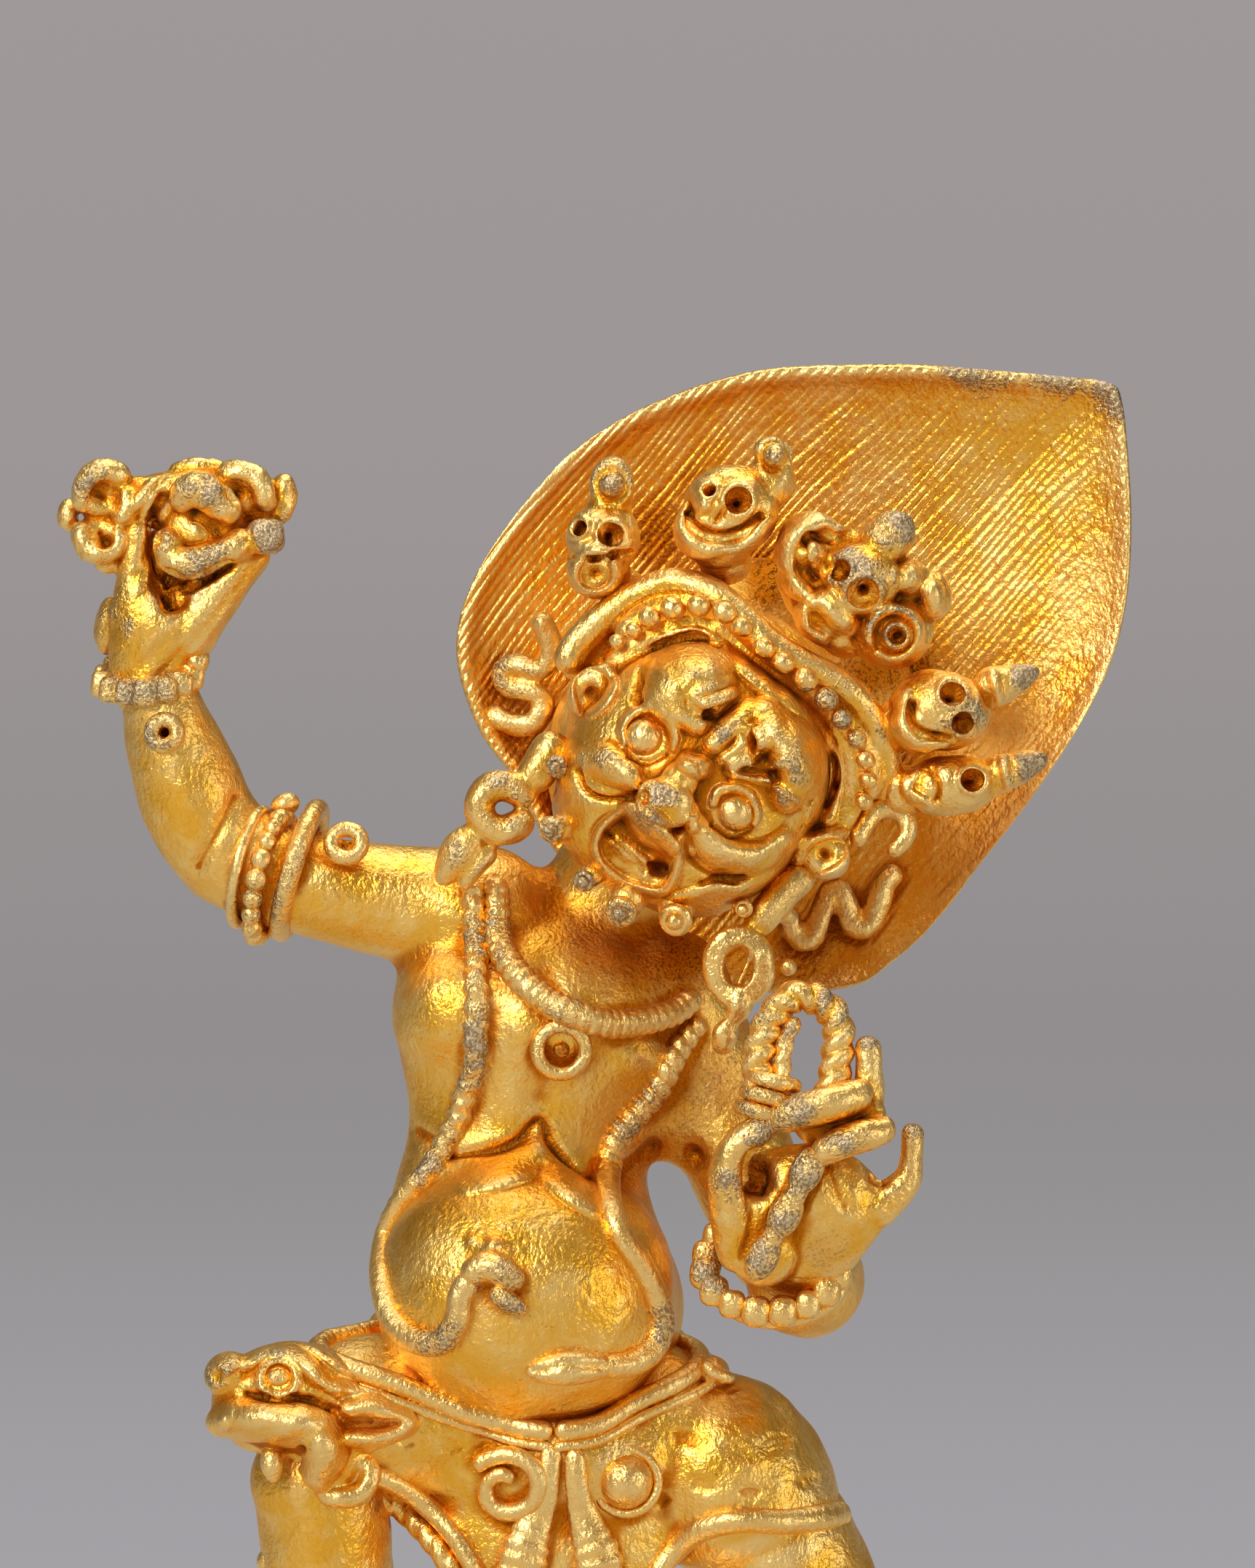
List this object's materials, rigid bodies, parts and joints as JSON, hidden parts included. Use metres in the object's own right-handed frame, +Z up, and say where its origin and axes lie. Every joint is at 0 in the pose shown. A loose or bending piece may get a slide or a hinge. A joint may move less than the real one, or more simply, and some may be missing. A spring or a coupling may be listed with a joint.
{
  "type": "gilt vajrapani statue",
  "caption": "Gilt cast-metal statuette of a wrathful striding deity with hair crest, thunderbolt and noose, on a low oval lotus pedestal.",
  "frame": {"origin": "on the flat underside of the lotus pedestal, at the middle of its oval", "axes": "+Z up; the figure faces -Y; +X is to the right of someone who faces it, the side of its lowered left hand"},
  "size_m": [0.0674, 0.0382, 0.1123],
  "materials": {
    "figure_gilding": "worn fire-gilding over cast copper alloy",
    "base_gilding": "fire-gilding over cast copper alloy"
  },
  "bodies": {
    "root": {"figure": "figure_gilding", "lotus_base": "base_gilding"}
  },
  "joints": []
}
